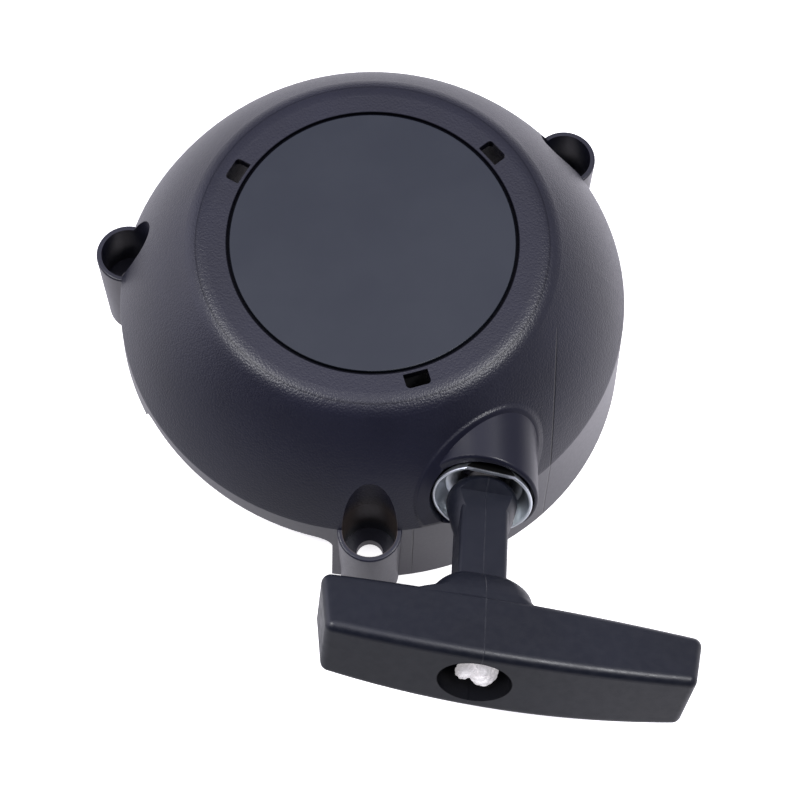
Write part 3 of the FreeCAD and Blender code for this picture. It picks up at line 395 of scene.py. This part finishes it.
def stretched_rope():
    """Rope fibre for the lead: its braid is worked out from place, so it doesn't stretch with the mesh."""
    s = Shader("stretched_rope")
    down = s.along(PULL, OUTLET)
    side = s.along(LEVEL, OUTLET)
    rise = s.along(UPRIGHT, OUTLET)
    turn = s.math("MULTIPLY", s.math("ARCTAN2", rise, side), BRAID_STRANDS / (2 * math.pi))
    run = s.math("DIVIDE", down, BRAID_LEAD)
    ribs = []
    for sign in ("ADD", "SUBTRACT"):
        phase = s.math(sign, turn, run)
        ribs.append(s.math("ABSOLUTE", s.math("SINE", s.math("MULTIPLY", phase, math.pi))))
    weave = s.math("MAXIMUM", ribs[0], ribs[1])
    fibre = s.noise(2400.0, 4.0)
    # Painted shade in the grooves between the braid's strands
    colour = s.tint(s.ramp(weave, 0.35, 0.95), (0.55, 0.53, 0.53, 1.0), (0.90, 0.88, 0.89, 1.0))
    normal = s.bump(weave, 0.35 * MM, 1.0)
    normal = s.bump(fibre, 0.08 * MM, 0.7, normal)
    return s.done(colour, s.ramp(fibre, 0.2, 0.8, 0.55, 0.8), normal, Sheen_Weight=0.3)


def pale_floor():
    """Plain pale table: it glows round the object, lies in shade under the cover and is hidden from below.

    The camera sees it paler than other surfaces do, so that the object isn't flooded with light.
    """
    s = Shader("pale_floor")
    cloud = s.noise(3.0, 2.0)
    seen = s.node("LightPath", {}).outputs["Is Camera Ray"]
    pale = s.tint(cloud, (0.93, 0.93, 0.935, 1.0), (0.95, 0.95, 0.95, 1.0))
    colour = s.tint(seen, grey(FLOOR_BOUNCE), pale)
    from_below = s.math("MULTIPLY", seen, s.node("NewGeometry", {}).outputs["Backfacing"])
    s.give(s.surface.inputs["Alpha"], s.math("SUBTRACT", 1.0, from_below))

    away = s.node("VectorMath", {0: s.place}, operation="LENGTH").outputs["Value"]
    table = s.ramp(away, 85 * MM, 125 * MM, FLOOR_GLOW["table"], 0.0)
    table = s.math("MULTIPLY", table, s.ramp(s.y, -110 * MM, -50 * MM, 0.5, 1.0))
    back = s.ramp(s.y, -90 * MM, 0.0, 0.0, FLOOR_GLOW["back"])
    beside = s.math("MULTIPLY", s.ramp(s.x, 30 * MM, 90 * MM), s.ramp(s.x, 120 * MM, 200 * MM, 1.0, 0.25))
    beside = s.math("MULTIPLY", beside, s.ramp(s.y, -200 * MM, -60 * MM, 0.2, 1.0))
    right = s.math("MULTIPLY", beside, FLOOR_GLOW["right"])
    glow = s.math("MAXIMUM", table, s.math("MAXIMUM", back, right))
    glow = s.math("MULTIPLY", glow, s.math("SUBTRACT", 1.0, seen))

    outside = s.ramp(away, 58 * MM, 70 * MM)
    lift = s.ramp(away, 80 * MM, 130 * MM, FLOOR_GLOW["seen near"], FLOOR_GLOW["seen"])
    lift = s.math("MULTIPLY", lift, s.math("MULTIPLY", seen, outside))
    s.give(s.surface.inputs["Emission Color"], s.tint(seen, FLOOR_TINT, FLOOR_SEEN_TINT))
    s.give(s.surface.inputs["Emission Strength"], s.math("MAXIMUM", glow, lift))
    return s.done(colour, 0.85)


# ----------------------------------------------------------------- mesh pieces

def eyelet_axis():
    """Direction that the eyelet faces: raised as the pull is, and turned a little further to -X."""
    lift = math.asin(PULL.z)
    level = Vector((math.sin(EYELET_YAW), -math.cos(EYELET_YAW), 0))
    return level * math.cos(lift) + UP * math.sin(lift)


def resample(points, step):
    """Evenly spaced points along a polyline."""
    points = np.asarray(points, float)
    lengths = np.linalg.norm(np.diff(points, axis=0), axis=1)
    marks = np.concatenate([[0.0], np.cumsum(lengths)])
    count = max(2, int(round(marks[-1] / step)))
    wanted = np.linspace(0.0, marks[-1], count + 1)
    return np.stack([np.interp(wanted, marks, points[:, axis]) for axis in range(3)], 1), wanted


def carried_frames(points):
    """Tangents, and two side directions carried along the path without twist."""
    tangents = np.gradient(points, axis=0)
    tangents /= np.linalg.norm(tangents, axis=1)[:, None]
    start = np.cross(tangents[0], (0.0, 0.0, 1.0))
    if np.linalg.norm(start) < 0.1:
        start = np.cross(tangents[0], (1.0, 0.0, 0.0))
    sides = [start / np.linalg.norm(start)]
    for tangent in tangents[1:]:
        side = sides[-1] - tangent * (sides[-1] @ tangent)
        sides.append(side / np.linalg.norm(side))
    sides = np.array(sides)
    return tangents, sides, np.cross(tangents, sides)


def braid_height(run, turn):
    """Height of a braid's surface: two sets of strands that pass over and under in turn."""
    first = turn + run
    second = turn - run
    across_first = 1 - (2 * (first % 1.0) - 1) ** 2
    across_second = 1 - (2 * (second % 1.0) - 1) ** 2
    wave_first = np.cos(np.pi * (np.floor(first) + second - 0.5))
    wave_second = -np.cos(np.pi * (np.floor(second) + first - 0.5))
    return np.maximum(0.6 * across_first + 0.4 * wave_first, 0.6 * across_second + 0.4 * wave_second)


def mesh_object(name, vertices, faces, material):
    mesh = bpy.data.meshes.new(name)
    mesh.from_pydata([tuple(v) for v in vertices], [], faces)
    mesh.materials.append(material)
    mesh.polygons.foreach_set("use_smooth", [True] * len(mesh.polygons))
    mesh.update()
    piece = bpy.data.objects.new(name, mesh)
    bpy.context.scene.collection.objects.link(piece)
    return piece


def braided_tube(name, path, radius, material, step=0.3 * MM, around=64, depth=0.13):
    """Closed braided rope along a path: depth is the strands' relief as a share of the radius."""
    points, run = resample(path, step)
    _, sides, ups = carried_frames(points)
    angles = np.arange(around) * 2 * np.pi / around
    grid_run, grid_angle = np.meshgrid(run / BRAID_LEAD, angles, indexing="ij")
    height = braid_height(grid_run, grid_angle * BRAID_STRANDS / (2 * np.pi))
    reach = radius * (1 + depth * (height - 1))
    rings = points[:, None] + reach[..., None] * (
        np.cos(angles)[None, :, None] * sides[:, None] + np.sin(angles)[None, :, None] * ups[:, None])
    count = len(points)
    vertices = rings.reshape(-1, 3).tolist()
    faces = []
    for ring in range(count - 1):
        for spot in range(around):
            after = (spot + 1) % around
            faces.append((ring * around + spot, ring * around + after,
                          (ring + 1) * around + after, (ring + 1) * around + spot))
    vertices.append(points[0].tolist())
    vertices.append(points[-1].tolist())
    first_hub = count * around
    last_ring = (count - 1) * around
    for spot in range(around):
        after = (spot + 1) % around
        faces.append((first_hub, after, spot))
        faces.append((first_hub + 1, last_ring + spot, last_ring + after))
    return mesh_object(name, vertices, faces, material)


def rope_run_piece(material):
    """Rope from the pulley's rim to the bend in the eyelet."""
    start = Vector((TANGENT_X, 0, ROPE_Z))
    rim_y = -math.sqrt((COIL_CUT_R + 0.1 * MM) ** 2 - (TANGENT_X - ROPE_R) ** 2)
    share = rim_y / BEND.y
    piece = braided_tube("rope_run_braid", [start.lerp(BEND, share), BEND], ROPE_R, material, around=48)
    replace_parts(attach(piece, "cover"), "rope_run")
    return piece


def rope_lead_piece(material):
    """Rope from the bend into the grip."""
    end = OUTLET + PULL * (KNOT_DEPTH - 6.0 * MM)
    piece = braided_tube("rope_lead_braid", [BEND, end], ROPE_R, material, around=48, depth=0.10)
    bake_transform(piece)
    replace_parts(piece, "rope_lead")
    return piece


def rope_winding_piece(material):
    """Rope on the pulley: the tangent from the rim, then a flat coil of half turns about two centres."""
    rim_y = -math.sqrt(COIL_CUT_R ** 2 - (TANGENT_X + ROPE_R) ** 2)
    path = [(TANGENT_X, rim_y, ROPE_Z)]
    start_x = TANGENT_X
    for half_turn in range(2 * COIL_TURNS):
        side = 1 if half_turn % 2 == 0 else -1
        end_x = side * COIL_PITCH / 2 - start_x
        centre = (start_x + end_x) / 2
        for angle in np.linspace(0, math.pi, 25)[:-1]:
            reach = (start_x - centre) * math.cos(angle)
            path.append((centre + reach, side * abs(start_x - centre) * math.sin(angle), ROPE_Z))
        start_x = end_x
    path.append((start_x, 0.0, ROPE_Z))
    piece = braided_tube("rope_winding_braid", path, ROPE_R, material, step=0.55 * MM, around=32)
    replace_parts(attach(piece, "pulley"), "rope_winding")
    return piece


def knot_path(reach, depth, steps=120):
    """Closed path of a tight overhand knot round z, wide by 3 * reach each way and deep by depth each way."""
    path = []
    for angle in np.linspace(0.0, 2 * math.pi * 1.01, steps):
        across = math.sin(angle) + 2 * math.sin(2 * angle)
        rise = math.cos(angle) - 2 * math.cos(2 * angle)
        path.append(Vector((across * reach, rise * reach, -math.sin(3 * angle) * depth)))
    return path


def in_frame(points, origin, x_dir, y_dir, z_dir):
    return [origin + x_dir * p[0] + y_dir * p[1] + z_dir * p[2] for p in points]


def grip_knot_piece(material):
    """Knot in the grip's pocket, seen through the hole in its front."""
    path = knot_path(*GRIP_KNOT)
    centre = OUTLET + PULL * KNOT_DEPTH + GRIP_X * KNOT_SHIFT[0] + GRIP_Z * KNOT_SHIFT[1]
    side = GRIP_X * math.cos(KNOT_TURN) + GRIP_Z * math.sin(KNOT_TURN)
    rise = GRIP_Z * math.cos(KNOT_TURN) - GRIP_X * math.sin(KNOT_TURN)
    placed = in_frame(path, centre, side, rise, -PULL)
    piece = braided_tube("grip_knot_braid", placed, ROPE_R, material, step=0.22 * MM, around=64, depth=0.24)
    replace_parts(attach(piece, "rope_end"), "grip_knot")
    return piece


def pulley_knot_piece(material):
    """Stopper knot under the pulley's lower flange."""
    low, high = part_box("pulley_knot")
    middle = (low + high) / 2
    centre = Vector((middle.x, middle.y, low.z + PULLEY_KNOT_RISE))
    path = knot_path(*PULLEY_KNOT)
    placed = in_frame(path, centre, Vector((1, 0, 0)), Vector((0, 1, 0)), UP)
    rope_r = PULLEY_KNOT_ROPE_R
    piece = braided_tube("pulley_knot_braid", placed, rope_r, material, step=0.25 * MM, around=48)
    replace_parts(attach(piece, "pulley"), "pulley_knot")
    return piece


# ----------------------------------------------------------------- CAD pieces

def dress(materials):
    """Give each CAD node that stays its procedural material."""
    for node, material in materials.items():
        piece = frame["nodes"][node]
        if not piece.material_slots:
            piece.data.materials.append(material)
        for slot in piece.material_slots:
            slot.material = material


# ---------------------------------------------------------------- studio

# Each zone of the sky: one component of the direction from, to, and the strength at each
SKY_ZONES = {
    "bank": (0.66, 0.92, 0.0, 1.24),
    "back": (-0.25, 0.25, 0.0, 0.4),
    "dark front": (-0.65, -0.05, 0.02, 1.0),
    "left": (-0.95, -0.4, 1.8, 0.0),
    "left, dark front": (-0.50, 0.20, 0.04, 1.0),
    "right": (0.45, 0.95, 0.0, 0.42),
    "right, dark front": (-0.75, 0.0, 0.3, 1.0),
}
SKY_TINT = (0.975, 0.965, 1.15, 1.0)
SKY_SEEN = 1.0
FLOOR_REACH = 3.0
SOFTBOX_SIZE = 0.24
SOFTBOXES = (
    # name, place, aim, power
    ("right_softbox", (0.44, -0.11, 0.82), (0.02, -0.02, 0.04), 4.0),
    ("left_softbox", (-0.46, -0.11, 0.82), (-0.02, -0.02, 0.04), 3.6),
)
CAMERA_ELEVATION = math.radians(66.76)
CAMERA_ROLL = math.radians(1.54)
CAMERA_DISTANCE = 0.733
CAMERA_AIM = Vector((9.0 * MM, -33.8 * MM, 35.7 * MM))
CAMERA_LENS = 112.5


class Sky:
    """World light as a function of direction, built from a few soft-edged zones."""

    def __init__(self):
        world = bpy.data.worlds.new("studio")
        bpy.context.scene.world = world
        world.use_nodes = True
        self.tree = world.node_tree
        self.background = self.tree.nodes["Background"]
        split = self.tree.nodes.new("ShaderNodeSeparateXYZ")
        self.tree.links.new(self.tree.nodes.new("ShaderNodeTexCoord").outputs["Generated"], split.inputs[0])
        self.x, self.y, self.z = split.outputs

    def ramp(self, value, low, high, start, end):
        made = self.tree.nodes.new("ShaderNodeMapRange")
        made.interpolation_type = "SMOOTHSTEP"
        self.tree.links.new(value, made.inputs["Value"])
        for key, number in (("From Min", low), ("From Max", high), ("To Min", start), ("To Max", end)):
            made.inputs[key].default_value = number
        return made.outputs["Result"]

    def join(self, operation, first, second):
        made = self.tree.nodes.new("ShaderNodeMath")
        made.operation = operation
        self.tree.links.new(first, made.inputs[0])
        self.tree.links.new(second, made.inputs[1])
        return made.outputs[0]

    def shine(self, strength, seen):
        """Light the scene by strength, and show a plain backdrop of this level to the camera."""
        choose = self.tree.nodes.new("ShaderNodeMix")
        choose.data_type = "FLOAT"
        path = self.tree.nodes.new("ShaderNodeLightPath")
        self.tree.links.new(path.outputs["Is Camera Ray"], choose.inputs[0])
        self.tree.links.new(strength, choose.inputs[2])
        choose.inputs[3].default_value = seen
        self.tree.links.new(choose.outputs[0], self.background.inputs["Strength"])


def studio():
    """Pale floor, a bright overhead bank, bright sides, and a dark room low on the camera's side."""
    corners = [(x * FLOOR_REACH, y * FLOOR_REACH, 0) for x, y in ((-1, -1), (1, -1), (1, 1), (-1, 1))]
    floor = mesh_object("floor", corners, [(0, 1, 2, 3)], pale_floor())
    floor.location.z = cad_box[0].z - FLOOR_GAP

    sky = Sky()
    above = sky.join("MAXIMUM", sky.ramp(sky.z, *SKY_ZONES["bank"]), sky.ramp(sky.y, *SKY_ZONES["back"]))
    room = sky.join("MULTIPLY", above, sky.ramp(sky.y, *SKY_ZONES["dark front"]))
    left = sky.ramp(sky.x, *SKY_ZONES["left"])
    left = sky.join("MULTIPLY", left, sky.ramp(sky.y, *SKY_ZONES["left, dark front"]))
    right = sky.ramp(sky.x, *SKY_ZONES["right"])
    right = sky.join("MULTIPLY", right, sky.ramp(sky.y, *SKY_ZONES["right, dark front"]))
    strength = sky.join("MAXIMUM", room, sky.join("MAXIMUM", left, right))
    sky.shine(strength, SKY_SEEN)
    sky.background.inputs["Color"].default_value = SKY_TINT
    bpy.context.scene.view_settings.view_transform = "Standard"


def soft_light(name, place, aim, power):
    lamp = bpy.data.lights.new(name, "AREA")
    lamp.shape = "SQUARE"
    lamp.size = SOFTBOX_SIZE
    lamp.energy = power
    holder = bpy.data.objects.new(name, lamp)
    bpy.context.scene.collection.objects.link(holder)
    holder.location = place
    holder.rotation_euler = (Vector(aim) - Vector(place)).to_track_quat("-Z", "Y").to_euler()


def camera():
    """Long lens, high in front of the rope outlet, with a slight roll."""
    back = Vector((0, -math.cos(CAMERA_ELEVATION), math.sin(CAMERA_ELEVATION)))
    lens = bpy.data.cameras.new("camera")
    lens.lens = CAMERA_LENS
    lens.sensor_width = 36.0
    lens.clip_start = 0.05
    holder = bpy.data.objects.new("camera", lens)
    bpy.context.scene.collection.objects.link(holder)
    upright = (-back).to_track_quat("-Z", "Y").to_matrix()
    turned = upright @ Matrix.Rotation(CAMERA_ROLL, 3, "Z")
    holder.matrix_world = Matrix.Translation(CAMERA_AIM + back * CAMERA_DISTANCE) @ turned.to_4x4()
    bpy.context.scene.camera = holder


def main():
    rope = rope_fibre()
    for build in (rope_run_piece, rope_winding_piece, grip_knot_piece, pulley_knot_piece):
        build(rope)
    rope_lead_piece(stretched_rope())

    cassette = nylon("cassette_nylon", (0.028, 0.028, 0.030, 1.0), 0.42)
    pulley = nylon("pulley_nylon", (0.040, 0.040, 0.043, 1.0), 0.40)
    acetal = nylon("pawl_acetal", (0.70, 0.685, 0.62, 1.0), 0.38)
    plated = steel("plated_steel", 0.62, 0.26)
    blued = steel("spring_steel", 0.30, 0.24, 90.0)
    dress({
        "starter_housing": cover_plastic(),
        "centre_disc": disc_plastic(),
        "rope_eyelet": zinc(),
        "pull_handle": grip_plastic(),
        "rope_pulley": pulley,
        "spring_case": cassette,
        "spring_cover": cassette,
        "recoil_spring": blued,
        "pawl_springs": blued,
        "brake_spring": blued,
        "hub_insert": brass(),
        "centre_screw": plated,
        "thrust_washer": plated,
        "guide_plate": plated,
        "leading_pawl": acetal,
        "trailing_pawl": acetal,
    })
    studio()
    for softbox in SOFTBOXES:
        soft_light(*softbox)
    camera()


main()
